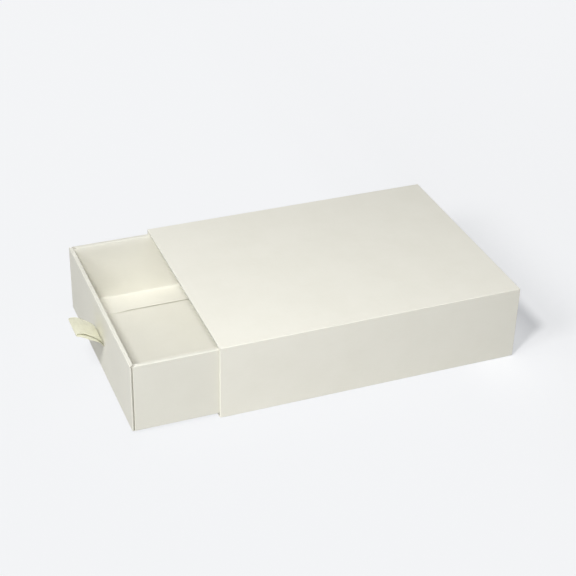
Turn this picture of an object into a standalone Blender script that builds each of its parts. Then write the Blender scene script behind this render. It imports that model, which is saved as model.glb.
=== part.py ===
"""Sliding drawer gift box: a fold-flat drawer in a four-sided sleeve, with a ribbon pull.

Every wall is greyboard under glued paper. The papers are modelled the way a box maker
lays them: a flat sheet whose edges are run on and bent round the boards. Metres, +Z up.
The origin is the middle of the sleeve's underside and the drawer opens towards -Y.
"""
import math

import bmesh
import bpy
from mathutils import Matrix, Vector

# Sleeve, over everything
SLEEVE_LENGTH = 0.220
SLEEVE_WIDTH = 0.164
SLEEVE_HEIGHT = 0.056

# Materials, as bought
SLEEVE_BOARD = 0.0015
DRAWER_BOARD = 0.0025
PAD_BOARD = 0.0010
FLAP_CARD = 0.0008
LINING_CARD = 0.0004
COVER_PAPER = 0.00015
LINING_PAPER = 0.00012
GLUE_LINE = 0.00004
TAPE_THICKNESS = 0.0005
RIBBON_THICKNESS = 0.0003

# How papers and boards are worked
PRESSED_EDGE = 0.00024
SLEEVE_PRESSED_EDGE = 0.00025
LINING_CREASE = 0.0003
TURN_IN = 0.014
TAB_INSET = 0.0008
END_TAB_REACH = 0.0002
LINING_SETBACK = 0.002
UNDER_STRIP = 0.015
STRIP_SETBACK = 0.003
BASE_SHEET_INSET = 0.0012
BOARD_SEAM = 0.0001
HINGE_GAP = 0.0005
CORNER_ROUND = 0.0003
CORNER_GAP = 0.0003
EAR_BEND = 0.0004

# How the drawer fits and stands
RUNNING_GAP_BELOW = 0.0003
RUNNING_GAP_ABOVE = 0.0004
RUNNING_GAP_SIDE = 0.0004
END_RECESS = 0.0003
PULLED_OUT = 0.0598

# Corner flaps that hold the drawer square
FLAP_REACH = 0.024
FLAP_END_DROP = 0.005
FLAP_SLOPE = 0.004
FLAP_CLEARANCE = 0.0003
TAPE_WIDTH = 0.010
TAPE_INSET = 0.004
TAPE_END_DROP = 0.009

# Loose pad on the drawer's floor, between the side linings
PAD_PRESSED_EDGE = 0.0003
PAD_TURN_UNDER = 0.012

# Side linings, which spring in a soft cove from the walls to the pad
COVE_RADIUS = 0.018
COVE_FOOT = 0.0008

# Ribbon pull
RIBBON_WIDTH = 0.021
RIBBON_OUT = 0.0205
RIBBON_RISE = 0.0125
RIBBON_TOP_BULGE = 0.0028
RIBBON_UNDER_SAG = 0.0011
RIBBON_TOP_FULLNESS = 0.6
RIBBON_UNDER_FULLNESS = 0.8
RIBBON_LAYER_GAP = 0.0002
RIBBON_FOLD_RADIUS = 0.0004
RIBBON_ASIDE = 0.003
RIBBON_ROOT_GAP = 0.0003
SLIT_HEIGHT_SHARE = 0.48
SLIT_CLEARANCE = 0.0003
TAIL_BEND = 0.0004
TAIL_LENGTH = 0.012
PATCH_MARGIN = 0.005
PATCH_PAPER = 0.00012
PATCH_STANDOFF = 0.00008

# Facets
PRESS_STEPS = 3
FOLD_STEPS = 4
LAYER_STEPS = 14
CORNER_STEPS = 4
CUT_OVERRUN = 0.001
MERGE = 0.00001
QUARTER = math.radians(90)
DIAGONAL = math.sqrt(2)

# Worked out from the values above
paper_skin = COVER_PAPER + GLUE_LINE
lining_skin = LINING_PAPER + GLUE_LINE

sleeve_board_half_width = SLEEVE_WIDTH / 2 - paper_skin
sleeve_board_half_length = SLEEVE_LENGTH / 2 - paper_skin
strip_bottom = COVER_PAPER + GLUE_LINE
sleeve_board_bottom = strip_bottom + COVER_PAPER + GLUE_LINE
sleeve_board_top = SLEEVE_HEIGHT - paper_skin
bore_bottom = sleeve_board_bottom + SLEEVE_BOARD + paper_skin + lining_skin
bore_top = sleeve_board_top - SLEEVE_BOARD - paper_skin - lining_skin
bore_half_width = sleeve_board_half_width - SLEEVE_BOARD - paper_skin - lining_skin

drawer_bottom = bore_bottom + RUNNING_GAP_BELOW
drawer_top = bore_top - RUNNING_GAP_ABOVE
drawer_half_width = bore_half_width - RUNNING_GAP_SIDE
drawer_half_length = SLEEVE_LENGTH / 2 - END_RECESS
board_bottom = drawer_bottom + paper_skin
board_top = drawer_top - paper_skin
board_half_width = drawer_half_width - paper_skin
board_half_length = drawer_half_length - paper_skin
wall_inner_x = board_half_width - DRAWER_BOARD
wall_inner_y = board_half_length - DRAWER_BOARD
floor_top = board_bottom + DRAWER_BOARD
flap_face = wall_inner_y - paper_skin - lining_skin - GLUE_LINE - TAPE_THICKNESS - GLUE_LINE
flap_card_front = flap_face - COVER_PAPER - GLUE_LINE
corner_shift = (2 * (CORNER_ROUND + paper_skin) + CORNER_GAP) * DIAGONAL
end_flat_x = board_half_width - CORNER_ROUND
side_flat_y = board_half_length - CORNER_ROUND - corner_shift
mitre_depth = DRAWER_BOARD - 2 * CORNER_ROUND
lining_plane_x = wall_inner_x - paper_skin - GLUE_LINE
lining_plane_y = wall_inner_y - paper_skin - GLUE_LINE
lining_top = board_top - LINING_SETBACK
flap_bottom = floor_top + lining_skin + PAD_BOARD + COVER_PAPER + FLAP_END_DROP
flap_top = board_top - FLAP_END_DROP
flap_root_x = wall_inner_x - lining_skin - paper_skin - FLAP_CLEARANCE
flap_card_back = flap_card_front - FLAP_CARD
cove_root_x = lining_plane_x - COVE_RADIUS
foot_end_x = cove_root_x - COVE_FOOT
pad_half_width = foot_end_x - GLUE_LINE + PAD_PRESSED_EDGE
pad_half_length = flap_card_back - FLAP_CLEARANCE - paper_skin
pad_bottom = floor_top + lining_skin + GLUE_LINE + COVER_PAPER + GLUE_LINE
pad_top = pad_bottom + PAD_BOARD + GLUE_LINE + COVER_PAPER
front_face = -drawer_half_length
slit_height = 2 * RIBBON_THICKNESS + RIBBON_LAYER_GAP + 2 * SLIT_CLEARANCE
slit_z = drawer_bottom + SLIT_HEIGHT_SHARE * (drawer_top - drawer_bottom)
tail_plane = -(lining_plane_y - LINING_PAPER - GLUE_LINE)


def clear_scene():
    """Remove whatever the file opened with, so that the model starts alone."""
    for item in list(bpy.data.objects):
        bpy.data.objects.remove(item, do_unlink=True)


def collection(name):
    """A new collection in the scene."""
    made = bpy.data.collections.new(name)
    bpy.context.scene.collection.children.link(made)
    return made


def finish(name, colour, roughness):
    """A plain Principled finish in the colour of one material."""
    made = bpy.data.materials.new(name)
    made.use_nodes = True
    shader = made.node_tree.nodes["Principled BSDF"]
    shader.inputs["Base Color"].default_value = (*colour, 1.0)
    shader.inputs["Roughness"].default_value = roughness
    shader.inputs["Metallic"].default_value = 0.0
    return made


def empty(name, place, parent=None):
    """An empty on a joint's axis, which carries the pieces that move with it."""
    made = bpy.data.objects.new(name, None)
    model.objects.link(made)
    made.location = place
    made.parent = parent
    return made


def place(bm, name, material, parent=None, smooth=False):
    """Turn a bmesh into a named object in the model."""
    mesh = bpy.data.meshes.new(name)
    bm.to_mesh(mesh)
    bm.free()
    if smooth:
        mesh.shade_smooth()
        mesh.set_sharp_from_angle(angle=math.radians(35))
    made = bpy.data.objects.new(name, mesh)
    mesh.materials.append(material)
    model.objects.link(made)
    made.parent = parent
    return made


def box(low, high):
    """A cube primitive brought to its size and place in the mesh."""
    low, high = Vector(low), Vector(high)
    bm = bmesh.new()
    bmesh.ops.create_cube(bm, size=1.0)
    bmesh.ops.scale(bm, vec=high - low, verts=bm.verts)
    bmesh.ops.translate(bm, vec=(high + low) / 2, verts=bm.verts)
    return bm


def board(name, low, high, parent=None, pressed=PRESSED_EDGE):
    """A greyboard panel with its edges pressed round."""
    panel = place(box(low, high), name, greyboard, parent)
    bevel = panel.modifiers.new("pressed edges", "BEVEL")
    bevel.width = pressed
    bevel.segments = PRESS_STEPS
    bevel.limit_method = "ANGLE"
    return panel


def mitred_board(name, flat, outer, turn, parent):
    """A wall panel whose two ends are cut back at 45 degrees from its outer face."""
    middles = [((flat, CORNER_ROUND), -QUARTER, QUARTER / 2),
               ((flat - mitre_depth, DRAWER_BOARD - CORNER_ROUND), QUARTER / 2, QUARTER)]
    half = []
    for (along, inward), start, stop in middles:
        steps = round(CORNER_STEPS * (stop - start) / QUARTER)
        for step in range(steps + 1):
            angle = start + (stop - start) * step / steps
            half.append((along + CORNER_ROUND * math.cos(angle), inward + CORNER_ROUND * math.sin(angle)))
    outline = half + [(-along, inward) for along, inward in reversed(half)]
    bm = bmesh.new()
    face = bm.faces.new([bm.verts.new((along, inward - outer, board_bottom)) for along, inward in outline])
    made = bmesh.ops.extrude_face_region(bm, geom=[face])["geom"]
    raised = [item for item in made if isinstance(item, bmesh.types.BMVert)]
    bmesh.ops.translate(bm, vec=(0, 0, board_top - board_bottom), verts=raised)
    bmesh.ops.recalc_face_normals(bm, faces=bm.faces)
    bmesh.ops.rotate(bm, verts=bm.verts, matrix=Matrix.Rotation(turn, 3, "Z"))
    panel = place(bm, name, greyboard, parent)
    bevel = panel.modifiers.new("pressed edges", "BEVEL")
    bevel.width = PRESSED_EDGE
    bevel.segments = PRESS_STEPS
    bevel.limit_method = "ANGLE"
    return panel


def flat_sheet(x_scores, y_scores, z):
    """A flat sheet between the outer score lines, cut at the ones between them."""
    bm = bmesh.new()
    bmesh.ops.create_grid(bm, x_segments=1, y_segments=1, size=0.5)
    width, depth = x_scores[-1] - x_scores[0], y_scores[-1] - y_scores[0]
    bmesh.ops.scale(bm, vec=(width, depth, 1.0), verts=bm.verts)
    middle = ((x_scores[0] + x_scores[-1]) / 2, (y_scores[0] + y_scores[-1]) / 2, z)
    bmesh.ops.translate(bm, vec=middle, verts=bm.verts)
    for axis, scores in ((0, x_scores), (1, y_scores)):
        for score in scores[1:-1]:
            point = Vector((0, 0, z))
            point[axis] = score
            normal = Vector((0, 0, 0))
            normal[axis] = 1
            geometry = list(bm.verts) + list(bm.edges) + list(bm.faces)
            bmesh.ops.bisect_plane(bm, geom=geometry, plane_co=point, plane_no=normal)
    return bm


def free_edges(bm, test):
    """The sheet's free edges whose middle passes a test on its coordinates."""
    found = []
    for edge in bm.edges:
        if edge.is_boundary:
            middle = (edge.verts[0].co + edge.verts[1].co) / 2
            if test(middle.x, middle.y, middle.z):
                found.append(edge)
    return found


def fold(bm, edges, ahead, inward, legs):
    """Carry free edges on: a leg is a length to run, or (radius, angle) to bend inward."""
    ahead, inward = Vector(ahead), Vector(inward)
    for leg in legs:
        steps = FOLD_STEPS if isinstance(leg, tuple) else 1
        for _ in range(steps):
            made = bmesh.ops.extrude_edge_only(bm, edges=edges)["geom"]
            verts = [item for item in made if isinstance(item, bmesh.types.BMVert)]
            fresh = set(verts)
            edges = [item for item in made if isinstance(item, bmesh.types.BMEdge)
                     and item.verts[0] in fresh and item.verts[1] in fresh]
            if steps == 1:
                bmesh.ops.translate(bm, vec=ahead * leg, verts=verts)
            else:
                radius, angle = leg
                turn = Matrix.Rotation(angle / steps, 3, ahead.cross(inward))
                centre = verts[0].co + inward * radius
                bmesh.ops.rotate(bm, cent=centre, matrix=turn, verts=verts)
                ahead, inward = turn @ ahead, turn @ inward
    return edges


def thicken(bm, name, material, thickness, grows, parent=None):
    """Give a sheet its thickness on the side that its first face is told to grow to."""
    bm.faces.ensure_lookup_table()
    bmesh.ops.recalc_face_normals(bm, faces=bm.faces)
    first = bm.faces[0]
    first.normal_update()
    if first.normal.dot(Vector(grows)) < 0:
        bmesh.ops.reverse_faces(bm, faces=bm.faces)
    sheet = place(bm, name, material, parent, smooth=True)
    solid = sheet.modifiers.new("paper thickness", "SOLIDIFY")
    solid.thickness = thickness
    solid.offset = 1.0
    solid.use_even_offset = True
    solid.use_quality_normals = True
    return sheet


def cut(target, cutter):
    """Cut a hole in a piece and keep the cutter as a wire guide."""
    hole = target.modifiers.new("cut " + cutter.name, "BOOLEAN")
    hole.operation = "DIFFERENCE"
    hole.solver = "EXACT"
    hole.object = cutter


def guide(bm, name, parent=None):
    """A cutter: drawn as wire, never rendered."""
    mesh = bpy.data.meshes.new(name)
    bm.to_mesh(mesh)
    bm.free()
    made = bpy.data.objects.new(name, mesh)
    cutters.objects.link(made)
    made.parent = parent
    made.hide_render = True
    made.display_type = "WIRE"
    return made


def make_sleeve_boards():
    """Four greyboard panels: top and bottom over the ends of the two sides."""
    wide, long = sleeve_board_half_width, sleeve_board_half_length
    under, over = sleeve_board_bottom, sleeve_board_top
    press = SLEEVE_PRESSED_EDGE
    board("sleeve_bottom_board", (-wide, -long, under), (wide, long, under + SLEEVE_BOARD), pressed=press)
    board("sleeve_top_board", (-wide, -long, over - SLEEVE_BOARD), (wide, long, over), pressed=press)
    low, high = under + SLEEVE_BOARD + BOARD_SEAM, over - SLEEVE_BOARD - BOARD_SEAM
    inner = wide - SLEEVE_BOARD
    board("sleeve_left_board", (-wide, -long, low), (-inner, long, high), pressed=press)
    board("sleeve_right_board", (inner, -long, low), (wide, long, high), pressed=press)


def make_sleeve_wrap():
    """One sheet over top and sides, under the bottom's edges and into both mouths."""
    press, bend = SLEEVE_PRESSED_EDGE, SLEEVE_PRESSED_EDGE + GLUE_LINE
    flat_x = sleeve_board_half_width - press
    flat_y = sleeve_board_half_length - press
    tab_x = sleeve_board_half_width - SLEEVE_BOARD - paper_skin - TAB_INSET
    strip_y = flat_y - STRIP_SETBACK
    top = sleeve_board_top + GLUE_LINE
    bm = flat_sheet((-flat_x, -tab_x, tab_x, flat_x), (-flat_y, -strip_y, strip_y, flat_y), top)
    flat_z = sleeve_board_top - sleeve_board_bottom - 2 * press
    end_z = SLEEVE_BOARD + paper_skin + TAB_INSET - press
    over_edge = [(bend, QUARTER), SLEEVE_BOARD - 2 * press]
    into_mouth = [(bend, QUARTER), TURN_IN]
    corner_z = SLEEVE_BOARD - 2 * press + BOARD_SEAM
    for side in (-1, 1):
        edges = free_edges(bm, lambda x, y, z: x * side > flat_x - MERGE)
        legs = [(bend, QUARTER), corner_z, end_z - corner_z, flat_z - 2 * end_z, end_z]
        edges = fold(bm, edges, (side, 0, 0), (0, 0, -1), legs)
        edges = [edge for edge in edges if abs(edge.verts[0].co.y + edge.verts[1].co.y) < strip_y]
        fold(bm, edges, (0, 0, -1), (-side, 0, 0), [(bend, QUARTER), UNDER_STRIP])
    side_plane = sleeve_board_half_width + GLUE_LINE
    lowest = sleeve_board_bottom + press + end_z
    highest = sleeve_board_top - press - end_z
    for end in (-1, 1):
        at_end = lambda y: y * end > flat_y - MERGE
        edges = free_edges(bm, lambda x, y, z: at_end(y) and z > top - MERGE and abs(x) < flat_x)
        edges = fold(bm, edges, (0, end, 0), (0, 0, -1), over_edge)
        edges = [edge for edge in edges if abs(edge.verts[0].co.x + edge.verts[1].co.x) < tab_x]
        fold(bm, edges, (0, 0, -1), (0, -end, 0), into_mouth)
        for side in (-1, 1):
            edges = free_edges(bm, lambda x, y, z: at_end(y) and x * side > side_plane - MERGE
                               and sleeve_board_bottom + press < z < sleeve_board_top - press - corner_z)
            edges = fold(bm, edges, (0, end, 0), (-side, 0, 0), over_edge)
            edges = [edge for edge in edges
                     if lowest < edge.verts[0].co.z / 2 + edge.verts[1].co.z / 2 < highest]
            fold(bm, edges, (-side, 0, 0), (0, -end, 0), into_mouth)
    thicken(bm, "sleeve_wrap", ivory_cover, COVER_PAPER, (0, 0, 1))


def make_sleeve_base_sheet():
    """The sheet under the sleeve, over the wrap's strips and into both mouths."""
    bend = SLEEVE_PRESSED_EDGE + sleeve_board_bottom - COVER_PAPER
    flat_x = sleeve_board_half_width - BASE_SHEET_INSET
    flat_y = sleeve_board_half_length - SLEEVE_PRESSED_EDGE
    tab_x = sleeve_board_half_width - SLEEVE_BOARD - paper_skin - TAB_INSET
    bm = flat_sheet((-flat_x, -tab_x, tab_x, flat_x), (-flat_y, flat_y), COVER_PAPER)
    inner_bend = SLEEVE_PRESSED_EDGE + GLUE_LINE
    drop = sleeve_board_bottom - COVER_PAPER - GLUE_LINE
    for end in (-1, 1):
        edges = free_edges(bm, lambda x, y, z: y * end > flat_y - MERGE)
        straight = SLEEVE_BOARD - 2 * SLEEVE_PRESSED_EDGE
        edges = fold(bm, edges, (0, end, 0), (0, 0, 1), [(bend, QUARTER), straight])
        edges = [edge for edge in edges if abs(edge.verts[0].co.x + edge.verts[1].co.x) < tab_x]
        fold(bm, edges, (0, 0, 1), (0, -end, 0), [(inner_bend + drop, QUARTER), TURN_IN])
    for vert in bm.verts:
        if vert.co.z > sleeve_board_bottom + SLEEVE_BOARD + GLUE_LINE:
            vert.co.z = sleeve_board_bottom + SLEEVE_BOARD + GLUE_LINE
    thicken(bm, "sleeve_base_sheet", ivory_cover, COVER_PAPER, (0, 0, -1))


def make_sleeve_lining():
    """One sheet folded round the bore, set back from both mouths, its seam in a corner."""
    skin = paper_skin + GLUE_LINE
    half = sleeve_board_half_width - SLEEVE_BOARD - skin
    low = sleeve_board_bottom + SLEEVE_BOARD + skin
    high = sleeve_board_top - SLEEVE_BOARD - skin
    crease = LINING_CREASE
    length = sleeve_board_half_length - LINING_SETBACK
    bm = flat_sheet((-half + crease, half - crease), (-length, length), low)
    across, up = 2 * (half - crease), high - low - 2 * crease
    corner = (crease, QUARTER)
    edges = free_edges(bm, lambda x, y, z: x > half - crease - MERGE)
    fold(bm, edges, (1, 0, 0), (0, 0, 1), [corner, up, corner, across, corner, up - crease])
    thicken(bm, "sleeve_lining", ivory_lining, LINING_PAPER, (0, 0, 1))


def make_drawer_boards():
    """Base and four walls, which meet in mitres with a hair's gap at each corner."""
    base_x, base_y = wall_inner_x - HINGE_GAP, wall_inner_y - HINGE_GAP
    board("drawer_base_board", (-base_x, -base_y, board_bottom), (base_x, base_y, floor_top), slider)
    front = mitred_board("drawer_front_board", end_flat_x, board_half_length, 0.0, slider)
    mitred_board("drawer_right_board", side_flat_y, board_half_width, QUARTER, slider)
    mitred_board("drawer_back_board", end_flat_x, board_half_length, 2 * QUARTER, slider)
    mitred_board("drawer_left_board", side_flat_y, board_half_width, -QUARTER, slider)
    return front


def mitre_rim(bm, axis, flat, other_flat):
    """Draw a rim's free ends back along the 45 degrees that the board under it is cut to."""
    for vert in bm.verts:
        place_on = abs(vert.co[axis])
        depth = other_flat - abs(vert.co[1 - axis])
        if vert.co.z > board_top - PRESSED_EDGE - MERGE and abs(place_on - flat) < MERGE and depth > 0:
            vert.co[axis] = math.copysign(flat - min(depth, mitre_depth + CORNER_ROUND), vert.co[axis])


def make_drawer_wrap():
    """One cross-shaped sheet: under the base, up the walls and over the rims, with ears."""
    press, bend = PRESSED_EDGE, PRESSED_EDGE + GLUE_LINE
    flat_x, flat_y = board_half_width - press, board_half_length - press
    end_x, side_y = end_flat_x, side_flat_y
    rim_x = wall_inner_x - paper_skin - TAB_INSET
    rim_y = side_y - mitre_depth - TAB_INSET
    wall = board_top - board_bottom - 2 * press
    over_board = [(bend, QUARTER), DRAWER_BOARD - 2 * press, (bend, QUARTER)]
    corner = CORNER_ROUND + GLUE_LINE
    acute = [(corner, QUARTER), (corner, QUARTER / 2)]
    end_tab = acute + [mitre_depth * DIAGONAL, (corner, QUARTER / 2), END_TAB_REACH]
    ear_drop = side_y + corner / DIAGONAL - flap_card_front - GLUE_LINE
    ear_run = ear_drop * DIAGONAL - EAR_BEND * (DIAGONAL - 1)
    ear_low, ear_high = flap_bottom - board_bottom - press, board_top - press - flap_top
    across = (-flat_x, -end_x, -rim_x, rim_x, end_x, flat_x)
    along = (-flat_y, -side_y, -rim_y, rim_y, side_y, flat_y)
    bm = flat_sheet(across, along, board_bottom - GLUE_LINE)
    for end in (-1, 1):
        edges = free_edges(bm, lambda x, y, z: y * end > flat_y - MERGE and abs(x) < end_x)
        edges = fold(bm, edges, (0, end, 0), (0, 0, 1), [(bend, QUARTER), wall])
        edges = fold(bm, edges, (0, 0, 1), (0, -end, 0), over_board)
        edges = [edge for edge in edges if abs(edge.verts[0].co.x + edge.verts[1].co.x) < rim_x]
        fold(bm, edges, (0, 0, -1), (0, end, 0), [TURN_IN])
        plane = board_half_length + GLUE_LINE - MERGE
        for side in (-1, 1):
            edges = free_edges(bm, lambda x, y, z: y * end > plane and abs(x * side - end_x) < MERGE
                               and board_bottom + press < z < board_top - press)
            fold(bm, edges, (side, 0, 0), (0, -end, 0), end_tab)
    mitre_rim(bm, 0, end_x, board_half_length - CORNER_ROUND)
    for side in (-1, 1):
        edges = free_edges(bm, lambda x, y, z: x * side > flat_x - MERGE and abs(y) < side_y
                           and z < board_bottom)
        legs = [(bend, QUARTER), ear_low, wall - ear_low - ear_high, ear_high]
        edges = fold(bm, edges, (side, 0, 0), (0, 0, 1), legs)
        edges = fold(bm, edges, (0, 0, 1), (-side, 0, 0), over_board)
        edges = [edge for edge in edges if abs(edge.verts[0].co.y + edge.verts[1].co.y) < rim_y]
        fold(bm, edges, (0, 0, -1), (side, 0, 0), [TURN_IN])
        plane = board_half_width + GLUE_LINE - MERGE
        for end in (-1, 1):
            edges = free_edges(bm, lambda x, y, z: x * side > plane and abs(y * end - side_y) < MERGE
                               and board_bottom + press < z < board_top - press)
            edges = fold(bm, edges, (0, end, 0), (-side, 0, 0), acute + [ear_run])
            ears = [edge for edge in edges
                    if flap_bottom < edge.verts[0].co.z / 2 + edge.verts[1].co.z / 2 < flap_top]
            ahead, inward = (-side / DIAGONAL, -end / DIAGONAL, 0), (side / DIAGONAL, -end / DIAGONAL, 0)
            fold(bm, ears, ahead, inward, [(-EAR_BEND, -QUARTER / 2), FLAP_REACH])
    mitre_rim(bm, 1, side_y, board_half_width - CORNER_ROUND)
    return thicken(bm, "drawer_wrap", ivory_cover, COVER_PAPER, (0, 0, -1), slider)


def make_drawer_lining():
    """One sheet over the floor and up the insides of the front and back."""
    crease = LINING_CREASE
    half, flat_y = flap_root_x - crease, lining_plane_y - crease
    low = floor_top + GLUE_LINE
    up = lining_top - low - crease
    bm = flat_sheet((-half, half), (-flat_y, flat_y), low)
    for end in (-1, 1):
        edges = free_edges(bm, lambda x, y, z: y * end > flat_y - MERGE)
        fold(bm, edges, (0, end, 0), (0, 0, 1), [(crease, QUARTER), up])
    return thicken(bm, "drawer_lining", ivory_lining, LINING_PAPER, (0, 0, 1), slider)


def make_side_linings():
    """A card down each side wall that leaves it in a cove, its foot on the pad's pressed edge."""
    length = flap_card_back - FLAP_CLEARANCE
    low = pad_top + GLUE_LINE
    half_cove = (COVE_RADIUS, QUARTER / 2)
    for side, side_name in ((-1, "left"), (1, "right")):
        near, far = side * foot_end_x, side * cove_root_x
        bm = flat_sheet((min(near, far), max(near, far)), (-length, length), low)
        edges = free_edges(bm, lambda x, y, z: x * side > cove_root_x - MERGE)
        legs = [half_cove, half_cove, lining_top - low - COVE_RADIUS]
        fold(bm, edges, (side, 0, 0), (0, 0, 1), legs)
        thicken(bm, "side_lining_" + side_name, ivory_lining, LINING_CARD, (0, 0, 1), slider)


def outline_plate(points, axis_y, thickness, name, material, parent):
    """A flat outline in the XZ plane given a thickness along Y."""
    bm = bmesh.new()
    verts = [bm.verts.new((x, axis_y, z)) for x, z in points]
    face = bm.faces.new(verts)
    made = bmesh.ops.extrude_face_region(bm, geom=[face])["geom"]
    moved = [item for item in made if isinstance(item, bmesh.types.BMVert)]
    bmesh.ops.translate(bm, vec=(0, thickness, 0), verts=moved)
    bmesh.ops.recalc_face_normals(bm, faces=bm.faces)
    return place(bm, name, material, parent)


def make_corner_flaps():
    """Card in the ear of each side wall, with the adhesive strip that holds it to the end wall."""
    for end, end_name in ((-1, "front"), (1, "back")):
        for side, side_name in ((-1, "left"), (1, "right")):
            label = end_name + "_" + side_name
            root, tip = side * flap_root_x, side * (wall_inner_x - FLAP_REACH + FLAP_CLEARANCE)
            points = [(root, flap_bottom), (tip, flap_bottom + FLAP_SLOPE),
                      (tip, flap_top - FLAP_SLOPE), (root, flap_top)]
            outline_plate(points, end * flap_card_back, end * (FLAP_CARD - GLUE_LINE),
                          "corner_flap_" + label, flap_card, slider)
            outer = side * (flap_root_x - TAPE_INSET)
            inner = outer - side * TAPE_WIDTH
            low, high = flap_bottom + TAPE_END_DROP, flap_top - TAPE_END_DROP
            near = end * (flap_face + GLUE_LINE)
            far = near + end * TAPE_THICKNESS
            corner_a = (min(inner, outer), min(near, far), low)
            corner_b = (max(inner, outer), max(near, far), high)
            place(box(corner_a, corner_b), "corner_tape_" + label, adhesive, slider)


def make_floor_pad():
    """A thin board pad on the drawer's floor, in its own cover turned under all round."""
    wide, long = pad_half_width, pad_half_length
    top = pad_bottom + PAD_BOARD
    press = PAD_PRESSED_EDGE
    board("floor_pad_board", (-wide, -long, pad_bottom), (wide, long, top), slider, pressed=press)
    bend = press + GLUE_LINE
    flat_x, flat_y = wide - press, long - press
    trim_x, trim_y = flat_x - PAD_TURN_UNDER - TAB_INSET, flat_y - TAB_INSET
    bm = flat_sheet((-flat_x, -trim_x, trim_x, flat_x), (-flat_y, -trim_y, trim_y, flat_y), top + GLUE_LINE)
    legs = [(bend, QUARTER), PAD_BOARD - 2 * press, (bend, QUARTER), PAD_TURN_UNDER]
    for sign in (-1, 1):
        edges = free_edges(bm, lambda x, y, z: y * sign > flat_y - MERGE and abs(x) < trim_x)
        fold(bm, edges, (0, sign, 0), (0, 0, -1), legs)
        edges = free_edges(bm, lambda x, y, z: x * sign > flat_x - MERGE and abs(y) < trim_y)
        fold(bm, edges, (sign, 0, 0), (0, 0, -1), legs)
    thicken(bm, "floor_pad_cover", ivory_lining, COVER_PAPER, (0, 0, 1), slider)


def ribbon_path():
    """The pull's middle line as (out, up) from the slit: up the top layer, round, and back."""
    chord = Vector((RIBBON_OUT, RIBBON_RISE))
    aside = Vector((-RIBBON_RISE, RIBBON_OUT)).normalized()
    root = (RIBBON_THICKNESS + RIBBON_LAYER_GAP) / 2
    tip = RIBBON_FOLD_RADIUS
    points = []
    for step in range(LAYER_STEPS + 1):
        along = step / LAYER_STEPS
        swell = RIBBON_TOP_BULGE * math.sin(math.pi * along) ** RIBBON_TOP_FULLNESS
        points.append(chord * along + aside * (swell + root + (tip - root) * along))
    ahead = chord.normalized()
    for step in range(1, FOLD_STEPS):
        turn = math.pi * step / FOLD_STEPS
        points.append(chord + aside * (tip * math.cos(turn)) + ahead * (tip * math.sin(turn)))
    for step in range(LAYER_STEPS, -1, -1):
        along = step / LAYER_STEPS
        sag = RIBBON_UNDER_SAG * math.sin(math.pi * along) ** RIBBON_UNDER_FULLNESS
        points.append(chord * along - aside * (sag + root + (tip - root) * along))
    return points


def make_ribbon_pull():
    """The folded ribbon loop that stands out of the slit, about the flex axis."""
    bm = bmesh.new()
    left = -RIBBON_WIDTH / 2
    verts = [bm.verts.new((left, -RIBBON_ROOT_GAP - out, up)) for out, up in ribbon_path()]
    edges = [bm.edges.new(pair) for pair in zip(verts, verts[1:])]
    made = bmesh.ops.extrude_edge_only(bm, edges=edges)["geom"]
    moved = [item for item in made if isinstance(item, bmesh.types.BMVert)]
    bmesh.ops.translate(bm, vec=(RIBBON_WIDTH, 0, 0), verts=moved)
    bmesh.ops.recalc_face_normals(bm, faces=bm.faces)
    pull = place(bm, "ribbon_pull", ribbon_satin, flexer, smooth=True)
    solid = pull.modifiers.new("ribbon thickness", "SOLIDIFY")
    solid.thickness = RIBBON_THICKNESS
    solid.offset = 0.0
    solid.use_even_offset = True


def make_ribbon_tails():
    """The ribbon's two ends, through the slit and bent up and down the front's inside."""
    root = (RIBBON_THICKNESS + RIBBON_LAYER_GAP) / 2
    start = front_face + COVER_PAPER
    half = RIBBON_WIDTH / 2
    for sign, name in ((1, "ribbon_tail_upper"), (-1, "ribbon_tail_lower")):
        face = slit_z + sign * (root - RIBBON_THICKNESS / 2)
        bend = TAIL_BEND + RIBBON_THICKNESS
        turn = tail_plane + RIBBON_THICKNESS - bend
        bm = flat_sheet((RIBBON_ASIDE - half, RIBBON_ASIDE + half), (start, turn), face)
        edges = free_edges(bm, lambda x, y, z: y > turn - MERGE)
        fold(bm, edges, (0, 1, 0), (0, 0, sign), [(bend, QUARTER), TAIL_LENGTH])
        thicken(bm, name, ribbon_satin, RIBBON_THICKNESS, (0, 0, sign), slider)


def make_ribbon_patch():
    """The paper patch that covers the tails inside the front."""
    near = tail_plane + RIBBON_THICKNESS + PATCH_STANDOFF
    half_x = RIBBON_WIDTH / 2 + PATCH_MARGIN
    half_z = TAIL_LENGTH + TAIL_BEND + PATCH_MARGIN
    low = (RIBBON_ASIDE - half_x, near, slit_z - half_z)
    high = (RIBBON_ASIDE + half_x, near + PATCH_PAPER, slit_z + half_z)
    place(box(low, high), "ribbon_patch", ivory_lining, slider)


def make_slit():
    """The cutter for the slit that the ribbon passes, through board and papers."""
    half = RIBBON_WIDTH / 2 + SLIT_CLEARANCE
    low = (RIBBON_ASIDE - half, front_face - CUT_OVERRUN, slit_z - slit_height / 2)
    high = (RIBBON_ASIDE + half, tail_plane + CUT_OVERRUN, slit_z + slit_height / 2)
    return guide(box(low, high), "slit_cutter", slider)


clear_scene()
model = collection("drawer_gift_box")
cutters = collection("cutters")
greyboard = finish("greyboard", (0.42, 0.38, 0.32), 0.85)
ivory_cover = finish("ivory_cover_paper", (0.82, 0.80, 0.68), 0.60)
ivory_lining = finish("ivory_lining_paper", (0.83, 0.80, 0.66), 0.65)
flap_card = finish("ivory_flap_card", (0.80, 0.78, 0.66), 0.65)
adhesive = finish("adhesive_strip", (0.70, 0.68, 0.60), 0.45)
ribbon_satin = finish("ivory_ribbon", (0.80, 0.79, 0.62), 0.40)

slider = empty("drawer_slide_axis", (0, -PULLED_OUT, 0))
flexer = empty("ribbon_flex_axis", (RIBBON_ASIDE, front_face, slit_z), slider)

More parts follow.
